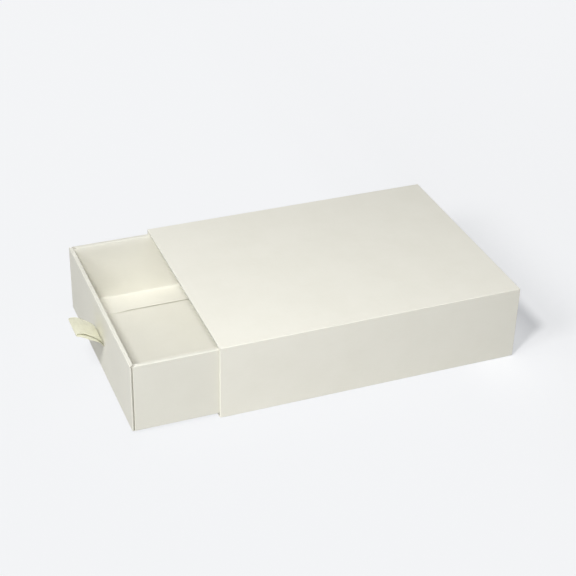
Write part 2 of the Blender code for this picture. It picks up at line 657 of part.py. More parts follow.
make_sleeve_boards()
make_sleeve_wrap()
make_sleeve_base_sheet()
make_sleeve_lining()
front_board = make_drawer_boards()
drawer_wrap = make_drawer_wrap()
drawer_lining = make_drawer_lining()
slit_cutter = make_slit()
for pierced in (front_board, drawer_wrap, drawer_lining):
    cut(pierced, slit_cutter)
make_corner_flaps()
make_floor_pad()
make_side_linings()
make_ribbon_pull()
make_ribbon_tails()
make_ribbon_patch()
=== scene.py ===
# %% [markdown]
# # A sliding drawer gift box
#
# The box is a flat sleeve and an open drawer, both greyboard under glued ivory paper, with
# a folded ribbon on the drawer's front to pull it by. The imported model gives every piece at
# its real size. This lesson dresses it: the papers' folds and finishes, two lining cards
# that spring off the walls, pleats at the corners, the ribbon with its ribs, the patch over
# the ribbon's ends, a floor with soft studio light, and the camera.

# %% Load the model that everything is fitted to
import math

import bmesh
import bpy
from mathutils import Matrix, Vector


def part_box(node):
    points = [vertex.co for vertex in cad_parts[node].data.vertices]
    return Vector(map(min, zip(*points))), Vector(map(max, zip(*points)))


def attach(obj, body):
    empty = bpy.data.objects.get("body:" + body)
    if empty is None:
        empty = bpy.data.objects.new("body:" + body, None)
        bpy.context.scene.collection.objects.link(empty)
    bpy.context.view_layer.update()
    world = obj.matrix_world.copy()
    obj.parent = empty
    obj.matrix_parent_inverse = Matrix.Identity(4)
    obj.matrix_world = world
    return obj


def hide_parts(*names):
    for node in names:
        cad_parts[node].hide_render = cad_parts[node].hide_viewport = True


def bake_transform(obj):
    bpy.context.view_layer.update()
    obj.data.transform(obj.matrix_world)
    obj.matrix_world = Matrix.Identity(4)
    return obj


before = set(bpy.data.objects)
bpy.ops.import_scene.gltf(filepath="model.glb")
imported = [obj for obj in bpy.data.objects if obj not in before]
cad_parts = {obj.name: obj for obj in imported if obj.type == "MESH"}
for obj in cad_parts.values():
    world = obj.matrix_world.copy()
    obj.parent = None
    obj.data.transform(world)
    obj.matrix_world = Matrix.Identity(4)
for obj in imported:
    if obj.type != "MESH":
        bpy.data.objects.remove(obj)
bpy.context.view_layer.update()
MM = 0.001

# %% [markdown]
# ## Camera
#
# The box is seen from in front and above, with its right side nearest. The camera's place,
# angles and focal length come from matching the box's corners. A long lens from a metre away
# keeps the far edges almost parallel to the near ones.

# %% Camera
CAMERA_AZIMUTH = math.radians(67.849)
CAMERA_ELEVATION = math.radians(32.043)
CAMERA_ROLL = math.radians(1.551)
CAMERA_PLACE = Vector((0.7956, -0.3545, 0.5749))
FOCAL_PIXELS = 1420.4
PICTURE_PIXELS = 576
camera_data = bpy.data.cameras.new("camera")
camera_data.lens = camera_data.sensor_width * FOCAL_PIXELS / PICTURE_PIXELS
camera = bpy.data.objects.new("camera", camera_data)
bpy.context.scene.collection.objects.link(camera)
level = math.cos(CAMERA_ELEVATION)
ahead = Vector((-math.sin(CAMERA_AZIMUTH) * level, math.cos(CAMERA_AZIMUTH) * level,
                -math.sin(CAMERA_ELEVATION)))
camera.location = CAMERA_PLACE
camera.rotation_mode = "QUATERNION"
roll = Matrix.Rotation(CAMERA_ROLL, 3, "Z").to_quaternion()
camera.rotation_quaternion = ahead.to_track_quat("-Z", "Y") @ roll
bpy.context.scene.camera = camera
print("lens in mm:", round(camera_data.lens, 1))

# %% [markdown]
# ## Finishes
#
# Covering paper looks plain from a step away. Close up it has a faint cloud of fibre, a
# fine tooth, and a slightly uneven sheen. A flat colour would look like plastic, and an
# image would show its repeats, so each finish is built from noise on object coordinates.
# The board inside is the same recipe with darker colours and longer fibres.

# %% Node helpers
def link(tree, source, output, target, socket):
    """Join an output to an input, each by name or number."""
    tree.links.new(source.outputs[output], target.inputs[socket])


def maths(tree, operation, first, second=None, third=None):
    """A Math node, fed by numbers or by (node, output) pairs."""
    made = tree.nodes.new("ShaderNodeMath")
    made.operation = operation
    for place, value in enumerate((first, second, third)):
        if isinstance(value, tuple):
            link(tree, value[0], value[1], made, place)
        elif value is not None:
            made.inputs[place].default_value = value
    return made


def noise(tree, coordinates, scale, detail, stretch=(1.0, 1.0, 1.0)):
    """Noise over the object's own coordinates, drawn out along an axis where stretch is small."""
    mapping = tree.nodes.new("ShaderNodeMapping")
    mapping.inputs["Scale"].default_value = stretch
    link(tree, coordinates, "Object", mapping, "Vector")
    made = tree.nodes.new("ShaderNodeTexNoise")
    made.inputs["Scale"].default_value = scale
    made.inputs["Detail"].default_value = detail
    link(tree, mapping, "Vector", made, "Vector")
    return made


def tinted(tree, value, dark, light, low, high):
    """A colour ramp from dark to light over the middle of a noise."""
    ramp = tree.nodes.new("ShaderNodeValToRGB")
    ends = ramp.color_ramp.elements
    ends[0].position, ends[0].color = low, (*dark, 1.0)
    ends[1].position, ends[1].color = high, (*light, 1.0)
    tree.links.new(value, ramp.inputs["Fac"])
    return ramp


# %% A paper or board: cloudy colour, uneven sheen and a tooth
CLOUD_SCALE = 45.0
CLOUD_RANGE = (0.45, 1.0)
FIBRE_SHARE_OF_TOOTH = 0.45
FIBRE_LENGTH = 0.12
SHEEN_SPREAD = 0.06
TOOTH_STRENGTH = 0.5


def paper(name, light, dark, roughness, tooth, tooth_scale, fibre=0.35):
    """Paper or card: two near colours in a cloud, fibres both ways, and a tooth as bump."""
    made = bpy.data.materials.new(name)
    made.use_nodes = True
    tree = made.node_tree
    shader = tree.nodes["Principled BSDF"]
    coordinates = tree.nodes.new("ShaderNodeTexCoord")
    cloud = noise(tree, coordinates, CLOUD_SCALE, 4.0)
    fibre_scale = tooth_scale * FIBRE_SHARE_OF_TOOTH
    across = noise(tree, coordinates, fibre_scale, 2.0, (1.0, FIBRE_LENGTH, 1.0))
    along = noise(tree, coordinates, fibre_scale, 2.0, (FIBRE_LENGTH, 1.0, 1.0))
    fibres = maths(tree, "ADD", (across, "Fac"), (along, "Fac"))
    mixed = maths(tree, "MULTIPLY_ADD", (fibres, "Value"), fibre, (cloud, "Fac"))
    colour = tinted(tree, mixed.outputs["Value"], dark, light, *CLOUD_RANGE)
    link(tree, colour, "Color", shader, "Base Color")
    sheen = tree.nodes.new("ShaderNodeMapRange")
    sheen.inputs["To Min"].default_value = roughness - SHEEN_SPREAD
    sheen.inputs["To Max"].default_value = roughness + SHEEN_SPREAD
    link(tree, fibres, "Value", sheen, "Value")
    link(tree, sheen, "Result", shader, "Roughness")
    grain = noise(tree, coordinates, tooth_scale, 3.0)
    height = maths(tree, "ADD", (grain, "Fac"), (fibres, "Value"))
    bump = tree.nodes.new("ShaderNodeBump")
    bump.inputs["Strength"].default_value = TOOTH_STRENGTH
    bump.inputs["Distance"].default_value = tooth
    link(tree, height, "Value", bump, "Height")
    link(tree, bump, "Normal", shader, "Normal")
    return made


COVER = {"roughness": 0.55, "tooth": 0.02 * MM, "tooth_scale": 2600.0}
LINING = {"roughness": 0.62, "tooth": 0.02 * MM, "tooth_scale": 2200.0}
ivory_cover = paper("ivory_cover_paper", (0.86, 0.845, 0.76), (0.83, 0.815, 0.725), **COVER)
# The drawer's paper is the sleeve's paper made darker: painted shade on the drawer's sides and front.
drawer_cover_painted_shade = paper("drawer_paper_painted_shade", (0.785, 0.773, 0.692), (0.757, 0.745, 0.662), **COVER)
ivory_lining = paper("ivory_lining_paper", (0.87, 0.856, 0.775), (0.845, 0.83, 0.745), **LINING)
# The floor pad's paper is the lining paper made darker: painted shade on the drawer's floor.
pad_paper_painted_shade = paper("pad_cover_painted_shade", (0.845, 0.832, 0.75), (0.82, 0.805, 0.72), **LINING)
ivory_card = paper("ivory_flap_card", (0.85, 0.83, 0.74), (0.81, 0.79, 0.695),
                   roughness=0.65, tooth=0.03 * MM, tooth_scale=1800.0)
greyboard = paper("greyboard", (0.47, 0.44, 0.39), (0.33, 0.31, 0.27),
                  roughness=0.85, tooth=0.06 * MM, tooth_scale=900.0, fibre=0.8)
tape = paper("mounting_tape", (0.80, 0.79, 0.74), (0.74, 0.73, 0.67),
             roughness=0.35, tooth=0.01 * MM, tooth_scale=1500.0)
print("finishes:", [made.name for made in bpy.data.materials if made.use_nodes])

# %% [markdown]
# ## Papers of the sleeve and the drawer
#
# Each paper is glued round its boards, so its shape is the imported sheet's own. The packed
# mesh is loose triangles with flat faces. A merged copy, with its narrow folds shaded as
# rounds and its wide panels left flat, catches light along the edges as real wraps do.

# %% A smooth copy of a packed sheet stands for it
MERGE = 0.001 * MM
FOLD_ANGLE = math.radians(40)
FLAT_ANGLE = math.radians(0.5)


def show(mesh, name, body, slot, *nodes):
    """Put a finished mesh in the scene as a piece that rides on a body and stands for nodes."""
    made = bpy.data.objects.new(name, mesh)
    bpy.context.scene.collection.objects.link(made)
    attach(made, body)
    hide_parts(*nodes)
    return made


def smooth_copy(node, name, body, material, slot):
    """A merged copy of a node's mesh, with its folds shaded round, in place of the node."""
    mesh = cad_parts[node].data.copy()
    mesh.name = name
    mesh.materials.clear()
    mesh.materials.append(material)
    bm = bmesh.new()
    bm.from_mesh(mesh)
    bmesh.ops.remove_doubles(bm, verts=bm.verts, dist=MERGE)
    bmesh.ops.dissolve_limit(bm, angle_limit=FLAT_ANGLE, verts=bm.verts, edges=bm.edges)
    bm.to_mesh(mesh)
    bm.free()
    mesh.shade_smooth()
    mesh.set_sharp_from_angle(angle=FOLD_ANGLE)
    made = show(mesh, name, body, slot, node)
    weighted = made.modifiers.new("flat panels", "WEIGHTED_NORMAL")
    weighted.keep_sharp = True
    return made


smooth_copy("sleeve_wrap", "sleeve_paper", "sleeve", ivory_cover, "ivory_cover")
smooth_copy("sleeve_base_sheet", "sleeve_base_paper", "sleeve", ivory_cover, "ivory_cover")
smooth_copy("sleeve_lining", "sleeve_bore_paper", "sleeve", ivory_lining, "ivory_lining")
# The drawer's wrap wears the darker copy of the cover paper, which is painted shade.
smooth_copy("drawer_wrap", "drawer_paper", "drawer", drawer_cover_painted_shade, "ivory_cover")
smooth_copy("drawer_lining", "drawer_floor_paper", "drawer", ivory_lining, "ivory_lining")
# The floor pad wears the darker copy of the lining paper, which is painted shade.
smooth_copy("floor_pad_cover", "floor_pad_paper", "drawer", pad_paper_painted_shade, "ivory_lining")

# %% Boards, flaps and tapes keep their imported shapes
FINISHES = {"_board": greyboard, "flap": ivory_card, "tape": tape}
for name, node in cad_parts.items():
    for part, material in FINISHES.items():
        if part in name:
            node.data.materials.clear()
            node.data.materials.append(material)
print("boards, flaps and tapes:", sum(any(part in name for part in FINISHES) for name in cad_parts))

# %% [markdown]
# ## Lining cards on the side walls
#
# A card lines each side wall. It is folded over a soft bend at the floor and lies on the
# floor pad, with its cut edge drawn as a fine line. The card is never quite flat. Its edge
# stands a hair proud of the pad, and its front end, where the hand goes in, has lifted.
# One profile is drawn at many stations along the drawer, so the lift can change from one
# to the next, and Solidify then gives the sheet its thickness. Both ends are notched round
# the corner flaps, so that the card closes the corner above and below them.

# %% How far the card's free edge stands up, along the drawer
FOOT_REACH = 4.0 * MM
FRONT_LIFT = 2.6 * MM
FRONT_LIFT_LENGTH = 13.0 * MM
SPRING_LIFT = 0.8 * MM
SPRING_FROM, SPRING_FULL = 18.0 * MM, 34.0 * MM


def smooth_step(value, start, end):
    """0 before start, 1 after end, and a smooth rise between."""
    share = min(max((value - start) / (end - start), 0.0), 1.0)
    return share * share * (3.0 - 2.0 * share)


def edge_lift(from_front):
    """How far the free edge stands off the pad, at a distance from the card's front end."""
    front = FRONT_LIFT * (1.0 - smooth_step(from_front, 0.0, FRONT_LIFT_LENGTH))
    return front + SPRING_LIFT * smooth_step(from_front, SPRING_FROM, SPRING_FULL)


print("lift in mm, every 10 mm:", [round(edge_lift(step * 10 * MM) / MM, 2) for step in range(5)])

# %% The two cards
CARD_THICKNESS = 0.25 * MM
GLUE = 0.04 * MM
BELOW_RIM = 0.5 * MM
BEND = 1.4 * MM
NOTCH_EASE = 0.15 * MM
CUT_EDGE_ROUND = 0.05 * MM
CUT_EDGE_ANGLE = math.radians(60)
CARD_STATIONS = 84
BEND_STEPS = 12
FOOT_STEPS = 8
DRAWER_LOW, DRAWER_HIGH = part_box("drawer_wrap")
LINING_LOW, LINING_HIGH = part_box("drawer_lining")
FLAP_LOW, FLAP_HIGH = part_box("corner_flap_front_left")
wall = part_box("side_lining_right")[1].x
card_top = DRAWER_HIGH.z - BELOW_RIM
notch_low, notch_high = FLAP_LOW.z - NOTCH_EASE, FLAP_HIGH.z + NOTCH_EASE


def card_profile(foot, bottom, lift):
    """The card's back, from the wall's top to its free edge, as (distance out, height)."""
    points = [(wall, card_top), (wall, notch_high + NOTCH_EASE), (wall, notch_high)]
    points += [(wall, notch_low), (wall, notch_low - NOTCH_EASE)]
    for step in range(BEND_STEPS + 1):
        turn = math.radians(90) * step / BEND_STEPS
        points.append((wall - BEND * (1.0 - math.cos(turn)), bottom + BEND * (1.0 - math.sin(turn))))
    for step in range(1, FOOT_STEPS + 1):
        share = step / FOOT_STEPS
        points.append((wall - BEND + (foot - wall + BEND) * share, bottom + lift * share * share))
    return points


def sprung_card(side, outward):
    """One lining card, drawn at each station along the drawer and given its thickness inwards."""
    low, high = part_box("side_lining_" + side)
    foot = min(abs(low.x), abs(high.x)) - FOOT_REACH
    bm = bmesh.new()
    rows = []
    for station in range(CARD_STATIONS + 1):
        y = low.y + (high.y - low.y) * station / CARD_STATIONS
        full = {0: LINING_LOW.y + GLUE, CARD_STATIONS: LINING_HIGH.y - GLUE}.get(station, y)
        row = []
        for out, z in card_profile(foot, low.z, edge_lift(y - low.y)):
            beside_flap = notch_low <= z <= notch_high
            row.append(bm.verts.new((outward * out, y if beside_flap else full, z)))
        rows.append(row)
    for row, following in zip(rows, rows[1:]):
        for here in range(len(row) - 1):
            corners = [row[here], row[here + 1], following[here + 1], following[here]]
            bm.faces.new(corners if outward < 0 else corners[::-1])
    mesh = bpy.data.meshes.new("side_card_" + side)
    bm.to_mesh(mesh)
    bm.free()
    mesh.materials.append(ivory_lining)
    mesh.shade_smooth()
    card = show(mesh, mesh.name, "drawer", "ivory_lining", "side_lining_" + side)
    thick = card.modifiers.new("card thickness", "SOLIDIFY")
    thick.thickness = CARD_THICKNESS
    thick.offset = 1.0
    softened = card.modifiers.new("cut edges", "BEVEL")
    softened.width = CUT_EDGE_ROUND
    softened.segments = 2
    softened.limit_method = "ANGLE"
    softened.angle_limit = CUT_EDGE_ANGLE
    return card


cards = [sprung_card("left", -1.0), sprung_card("right", 1.0)]
print("lining cards:", [(card.name, len(card.data.polygons)) for card in cards])

# %% [markdown]
# ## Pleats at the corners
#
# At each upper corner of the sleeve's mouths, the top paper and the side paper both turn in
# over the boards' ends. A real wrap usually tucks a little pleat of the same paper there.
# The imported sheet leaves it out, so that bare board would show. A boolean on sheets this
# thin would be fragile. Instead a rounded post under the side's fold and a rounded bar
# under the top's fold stand for the pleat. They lie a hair under the paper, with the fold's
# own rounding, and show only where the paper is cut away. A thin slip of paper stands in
# the mitre at each corner of the drawer's rim. It hides little: close up, fine grey lines
# of bare board still show at those corners.

# %% Pleats at the sleeve's mouths
UNDER_PAPER = 0.02 * MM
FOLD_ROUNDING = 0.42 * MM
PLEAT_STEPS = 4
PLEAT_ALONG = 2.4 * MM
POST_DROP = 1.2 * MM
BAR_REACH = 1.2 * MM
CORNERS = [(side, end) for side in (-1.0, 1.0) for end in (-1.0, 1.0)]
SLEEVE_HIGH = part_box("sleeve_wrap")[1]
SIDE_LOW, SIDE_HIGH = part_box("sleeve_right_board")
TOP_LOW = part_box("sleeve_top_board")[0]
skin = SLEEVE_HIGH.x - SIDE_HIGH.x


def rounded_block(bm, first, second):
    """A block between two opposite corners, with its edges rounded like the paper's folds."""
    size = [abs(a - b) for a, b in zip(first, second)]
    place = Matrix.Translation((first + second) / 2.0) @ Matrix.Diagonal((*size, 1.0))
    made = bmesh.ops.create_cube(bm, size=1.0, matrix=place)
    edges = list({edge for vert in made["verts"] for edge in vert.link_edges})
    bmesh.ops.bevel(bm, geom=edges, offset=FOLD_ROUNDING, segments=PLEAT_STEPS, profile=0.5,
                    affect="EDGES")


def mirrored(corner, side, end):
    """The same place on another side and at another end of the sleeve."""
    return Vector((corner.x * side, corner.y * end, corner.z))


def extra_paper(bm, name, body, material):
    """Put a small piece of covering paper in the scene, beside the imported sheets."""
    mesh = bpy.data.meshes.new(name)
    bm.to_mesh(mesh)
    bm.free()
    mesh.materials.append(material)
    mesh.shade_smooth()
    made = bpy.data.objects.new(name, mesh)
    bpy.context.scene.collection.objects.link(made)
    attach(made, body)
    made.modifiers.new("flat panels", "WEIGHTED_NORMAL")
    return made


bm = bmesh.new()
outer = SLEEVE_HIGH - Vector((UNDER_PAPER, UNDER_PAPER, UNDER_PAPER))
post = Vector((SIDE_LOW.x - skin + UNDER_PAPER, SLEEVE_HIGH.y - PLEAT_ALONG, TOP_LOW.z - POST_DROP))
bar = Vector((SIDE_LOW.x - BAR_REACH, SLEEVE_HIGH.y - PLEAT_ALONG, TOP_LOW.z - skin + UNDER_PAPER))
for side, end in CORNERS:
    rounded_block(bm, mirrored(outer, side, end), mirrored(post, side, end))
    rounded_block(bm, mirrored(outer, side, end), mirrored(bar, side, end))
pleats = extra_paper(bm, "sleeve_corner_pleats", "sleeve", ivory_cover)
print("pleats:", len(pleats.data.polygons), "faces")

# %% Slips in the drawer's mitres
SLIP_THICKNESS = 0.12 * MM
SLIP_START, SLIP_END = 0.25 * MM, 2.45 * MM
SLIP_BELOW_RIM = 0.25 * MM
bm = bmesh.new()
drawer_middle = (DRAWER_LOW + DRAWER_HIGH) / 2.0
slip_top = DRAWER_HIGH.z - SLIP_BELOW_RIM
slip_length = (SLIP_END - SLIP_START) * math.sqrt(2.0)
slip_inset = (SLIP_START + SLIP_END) / 2.0
slip_size = Matrix.Diagonal((slip_length, SLIP_THICKNESS, slip_top - FLAP_HIGH.z, 1.0))
for side, end in CORNERS:
    centre = Vector((drawer_middle.x + side * (DRAWER_HIGH.x - drawer_middle.x - slip_inset),
                     drawer_middle.y + end * (DRAWER_HIGH.y - drawer_middle.y - slip_inset),
                     (slip_top + FLAP_HIGH.z) / 2.0))
    turned = Matrix.Rotation(math.radians(45) * side * end, 4, "Z")
    bmesh.ops.create_cube(bm, size=1.0, matrix=Matrix.Translation(centre) @ turned @ slip_size)
# The slips wear the same darker drawer paper, which is painted shade.
slips = extra_paper(bm, "drawer_mitre_slips", "drawer", drawer_cover_painted_shade)
print("slips:", len(slips.data.polygons), "faces")

# %% [markdown]
# ## The ribbon pull
#
# The pull is one length of ribbed ribbon. It comes up from behind the front wall, out
# through a slit, round in a loop and back through the same slit, and both ends are bent
# away inside and glued under a patch. A ribbon like this is woven over thick cross threads,
# so its face is a row of fine ribs between two corded edges. Ribs that follow a path are
# what Geometry Nodes are for: the path is one curve, and the tree lays a core, a rib at
# every step and a cord along each edge.

# %% Where the slit and the ribbon are
TAIL_THICKNESS = 0.3 * MM
PULL_LOW, PULL_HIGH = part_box("ribbon_pull")
UPPER_TAIL_LOW, UPPER_TAIL_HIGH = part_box("ribbon_tail_upper")
LOWER_TAIL_LOW, LOWER_TAIL_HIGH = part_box("ribbon_tail_lower")
front_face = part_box("drawer_wrap")[0].y
slit_z = (UPPER_TAIL_LOW.z + LOWER_TAIL_HIGH.z) / 2
ribbon_middle = (PULL_LOW.x + PULL_HIGH.x) / 2
ribbon_width = PULL_HIGH.x - PULL_LOW.x
tail_y = UPPER_TAIL_HIGH.y - TAIL_THICKNESS / 2
print("ribbon width in mm:", round(ribbon_width / MM, 1), "slit height:", round(slit_z / MM, 1))

# %% [markdown]
# ### The path, through listed points
#
# Outside the front wall the loop follows no rule. It is soft ribbon that was pulled, and
# kept that shape. So its guide points are listed one by one, each as how far aside, how far
# out and how far up it lies, in millimetres from the slit. The upper layer rises straight. The
# lower layer comes back as much as 4 mm to one side, so that a strip of it shows beside the
# upper one. A Bezier curve through the points keeps every bend round. It has a price: where
# the tails turn inside the wall, the curve swings a little past its points.

# %% The ribbon's path
LAYER_APART = 0.25 * MM
TAIL_TURN = 0.6 * MM
PATH_STEPS = 24
UPPER_LAYER = [(0.0, 1.0, 3.6), (0.0, 4.3, 7.2), (0.0, 8.9, 10.7), (0.0, 13.3, 13.4), (0.0, 16.4, 14.0)]
TIP = [(0.1, 18.3, 13.9), (0.3, 18.9, 13.4), (0.5, 18.5, 12.9)]
LOWER_LAYER = [(2.4, 16.2, 13.1), (3.8, 11.4, 11.0), (2.8, 5.6, 7.2), (0.5, 1.7, 2.9)]


def ribbon_path():
    """Points from the upper tail's end, through the loop, to the lower tail's end."""
    inner = front_face + TAIL_TURN
    upper, lower = slit_z + LAYER_APART, slit_z - LAYER_APART
    points = [(0.0, tail_y, UPPER_TAIL_HIGH.z), (0.0, tail_y, (UPPER_TAIL_HIGH.z + slit_z) / 2)]
    points += [(0.0, tail_y, upper + TAIL_TURN), (0.0, tail_y - TAIL_TURN, upper)]
    points += [(0.0, inner, upper)]
    points += [(aside * MM, front_face - out * MM, slit_z + up * MM)
               for aside, out, up in UPPER_LAYER + TIP + LOWER_LAYER]
    points += [(0.0, inner, lower), (0.0, tail_y - TAIL_TURN, lower)]
    points += [(0.0, tail_y, lower - TAIL_TURN), (0.0, tail_y, (LOWER_TAIL_LOW.z + slit_z) / 2)]
    points += [(0.0, tail_y, LOWER_TAIL_LOW.z)]
    return points


path_curve = bpy.data.curves.new("ribbon_path", "CURVE")
path_curve.dimensions = "3D"
path_curve.resolution_u = PATH_STEPS
spline = path_curve.splines.new("BEZIER")
spline.bezier_points.add(len(ribbon_path()) - 1)
for knot, (aside, y, z) in zip(spline.bezier_points, ribbon_path()):
    knot.co = (ribbon_middle + aside, y, z)
    knot.handle_left_type = knot.handle_right_type = "AUTO"
path = bpy.data.objects.new("ribbon_path", path_curve)
bpy.context.scene.collection.objects.link(path)
print("knots on the path:", len(spline.bezier_points))

# %% A tree that weaves a ribbed ribbon along any curve
RIBBON_SIZES = {"Width": ribbon_width, "Core thickness": 0.16 * MM, "Rib pitch": 0.62 * MM,
                "Rib thickness": 0.28 * MM, "Edge cord": 0.15 * MM}
RIB_SIDES = 10
CORD_SIDES = 8


def add(tree, kind, **given):
    """A node: lower-case names are its settings, capital ones are sockets to set or to feed."""
    made = tree.nodes.new(kind)
    for name, value in given.items():
        if name[0].islower():
            setattr(made, name, value)
    for name, value in given.items():
        if name[0].isupper():
            socket = made.inputs[name.replace("_", " ")]
            if isinstance(value, tuple) and isinstance(value[0], bpy.types.Node):
                tree.links.new(value[0].outputs[value[1]], socket)
            else:
                socket.default_value = value
    return made


def swept(tree, curve, section):
    """A closed solid of one section drawn along a curve."""
    return add(tree, "GeometryNodeCurveToMesh", Curve=curve, Profile_Curve=section, Fill_Caps=True)


def ribbon_tree():
    """Core, ribs and edge cords along the curve that comes in, joined into one mesh."""
    tree = bpy.data.node_groups.new("ribbed_ribbon", "GeometryNodeTree")
    tree.interface.new_socket("Path", in_out="INPUT", socket_type="NodeSocketGeometry")
    for name in RIBBON_SIZES:
        tree.interface.new_socket(name, in_out="INPUT", socket_type="NodeSocketFloat")
    tree.interface.new_socket("Weave", in_out="INPUT", socket_type="NodeSocketMaterial")
    tree.interface.new_socket("Ribbon", in_out="OUTPUT", socket_type="NodeSocketGeometry")
    given = tree.nodes.new("NodeGroupInput")
    pitch = (given, "Rib pitch")
    half = maths(tree, "MULTIPLY", (given, "Width"), 0.5)
    other_half = maths(tree, "MULTIPLY", (given, "Width"), -0.5)
    left = add(tree, "ShaderNodeCombineXYZ", X=(other_half, "Value"))
    right = add(tree, "ShaderNodeCombineXYZ", X=(half, "Value"))
    steady = add(tree, "GeometryNodeSetCurveNormal", mode="FREE", Curve=(given, "Path"),
                 Normal=(1.0, 0.0, 0.0))
    fine = add(tree, "GeometryNodeResampleCurve", mode="LENGTH", Curve=(steady, "Curve"), Length=pitch)
    band = add(tree, "GeometryNodeCurvePrimitiveQuadrilateral", Width=(given, "Width"),
               Height=(given, "Core thickness"))
    core = swept(tree, (fine, "Curve"), (band, "Curve"))
    across = add(tree, "GeometryNodeCurvePrimitiveLine", Start=(left, "Vector"), End=(right, "Vector"))
    round_section = add(tree, "GeometryNodeCurvePrimitiveCircle", Resolution=RIB_SIDES, Radius=0.5)
    rod = swept(tree, (across, "Curve"), (round_section, "Curve"))
    flat = add(tree, "ShaderNodeCombineXYZ", X=1.0, Y=pitch, Z=(given, "Rib thickness"))
    rib = add(tree, "GeometryNodeTransform", Geometry=(rod, "Mesh"), Scale=(flat, "Vector"))
    spots = add(tree, "GeometryNodeCurveToPoints", mode="LENGTH", Curve=(steady, "Curve"), Length=pitch)
    turned = add(tree, "FunctionNodeAlignRotationToVector", axis="Y", pivot_axis="X",
                 Vector=(spots, "Tangent"))
    ribs = add(tree, "GeometryNodeInstanceOnPoints", Points=(spots, "Points"), Instance=(rib, "Geometry"),
               Rotation=(turned, "Rotation"))
    cord_section = add(tree, "GeometryNodeCurvePrimitiveCircle", Resolution=CORD_SIDES,
                       Radius=(given, "Edge cord"))
    joined = tree.nodes.new("GeometryNodeJoinGeometry")
    link(tree, core, "Mesh", joined, 0)
    link(tree, ribs, "Instances", joined, 0)
    for aside in (left, right):
        edge = add(tree, "GeometryNodeTransform", Geometry=(fine, "Curve"), Translation=(aside, "Vector"))
        link(tree, swept(tree, (edge, "Geometry"), (cord_section, "Curve")), "Mesh", joined, 0)
    real = add(tree, "GeometryNodeRealizeInstances", Geometry=(joined, "Geometry"))
    smooth = add(tree, "GeometryNodeSetShadeSmooth", Geometry=(real, "Geometry"))
    dressed = add(tree, "GeometryNodeSetMaterial", Geometry=(smooth, "Geometry"), Material=(given, "Weave"))
    result = tree.nodes.new("NodeGroupOutput")
    link(tree, dressed, "Geometry", result, "Ribbon")
    return tree


weaver = ribbon_tree()
print("ribbon tree:", len(weaver.nodes), "nodes")

# %% The ribbon's finish: a soft sheen over threads that run its length
RIBBON_LIGHT, RIBBON_DARK = (0.765, 0.755, 0.605), (0.70, 0.69, 0.53)
RIBBON_SHEEN, RIBBON_SHEEN_ROUGHNESS = 0.25, 0.4
THREAD_SCALE = 5200.0
THREAD_STRETCH = (1.0, 0.03, 0.03)
THREAD_RANGE = (0.3, 0.7)
LUSTRE_RANGE = (0.38, 0.52)
ribbon_weave = bpy.data.materials.new("ivory_ribbon_weave")
ribbon_weave.use_nodes = True
tree = ribbon_weave.node_tree
shader = tree.nodes["Principled BSDF"]
shader.inputs["Sheen Weight"].default_value = RIBBON_SHEEN
shader.inputs["Sheen Roughness"].default_value = RIBBON_SHEEN_ROUGHNESS
coordinates = tree.nodes.new("ShaderNodeTexCoord")
threads = noise(tree, coordinates, THREAD_SCALE, 2.0, THREAD_STRETCH)
colour = tinted(tree, threads.outputs["Fac"], RIBBON_DARK, RIBBON_LIGHT, *THREAD_RANGE)
link(tree, colour, "Color", shader, "Base Color")
lustre = tree.nodes.new("ShaderNodeMapRange")
lustre.inputs["To Min"].default_value = LUSTRE_RANGE[0]
lustre.inputs["To Max"].default_value = LUSTRE_RANGE[1]
link(tree, threads, "Fac", lustre, "Value")
link(tree, lustre, "Result", shader, "Roughness")
print("ribbon finish:", ribbon_weave.name)

# %% Weave it into a mesh in place of the imported ribbon
maker = path.modifiers.new("weave", "NODES")
maker.node_group = weaver
sockets = {item.name: item.identifier for item in weaver.interface.items_tree if item.in_out == "INPUT"}
for name, size in RIBBON_SIZES.items():
    maker[sockets[name]] = size
maker[sockets["Weave"]] = ribbon_weave
view = bpy.context.evaluated_depsgraph_get()
ribbon_mesh = bpy.data.meshes.new_from_object(path.evaluated_get(view), depsgraph=view)
ribbon_mesh.name = "ribbon_loop"
bpy.data.objects.remove(path)
ribbon = bpy.data.objects.new("ribbon_loop", ribbon_mesh)
bpy.context.scene.collection.objects.link(ribbon)
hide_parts("ribbon_pull", "ribbon_tail_upper", "ribbon_tail_lower")
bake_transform(ribbon)
places = [vert.co for vert in ribbon_mesh.vertices]
reach = [max(co[axis] for co in places) - min(co[axis] for co in places) for axis in range(3)]
print("ribbon:", len(ribbon_mesh.polygons), "faces, size in mm", [round(v / MM, 1) for v in reach])

# %% [markdown]
# ### The patch over the ribbon's ends
#
# Inside the front, a paper patch covers the two glued ends. It lies flat on the lining all
# round and rises over the ribbon in the middle, which is what tells the eye that something
# is under it. A fine grid is lifted by its distance from the patch's edge. One flaw is left.
# Just above and just below the slit, where the tails turn, the ribbon comes through the
# patch by up to 0.2 mm.

# %% A patch that rises over the ribbon's ends
PATCH_CELLS = 44
PATCH_PAPER = 0.12 * MM
PATCH_GLUED = 1.6 * MM
PATCH_RISEN = 4.4 * MM
PATCH_GLUE = 0.03 * MM
low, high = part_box("ribbon_patch")
lining_face = LOWER_TAIL_HIGH.y - TAIL_THICKNESS
bm = bmesh.new()
bmesh.ops.create_grid(bm, x_segments=PATCH_CELLS, y_segments=PATCH_CELLS, size=0.5)
for vert in bm.verts:
    x = low.x + (vert.co.x + 0.5) * (high.x - low.x)
    z = low.z + (vert.co.y + 0.5) * (high.z - low.z)
    inset = min(x - low.x, high.x - x, z - low.z, high.z - z)
    risen = smooth_step(inset, PATCH_GLUED, PATCH_RISEN)
    glued = lining_face + PATCH_GLUE
    vert.co = (x, glued + (low.y - glued) * risen, z)
if bm.faces[:][0].normal.y < 0:
    bmesh.ops.reverse_faces(bm, faces=bm.faces)
patch_mesh = bpy.data.meshes.new("ribbon_end_patch")
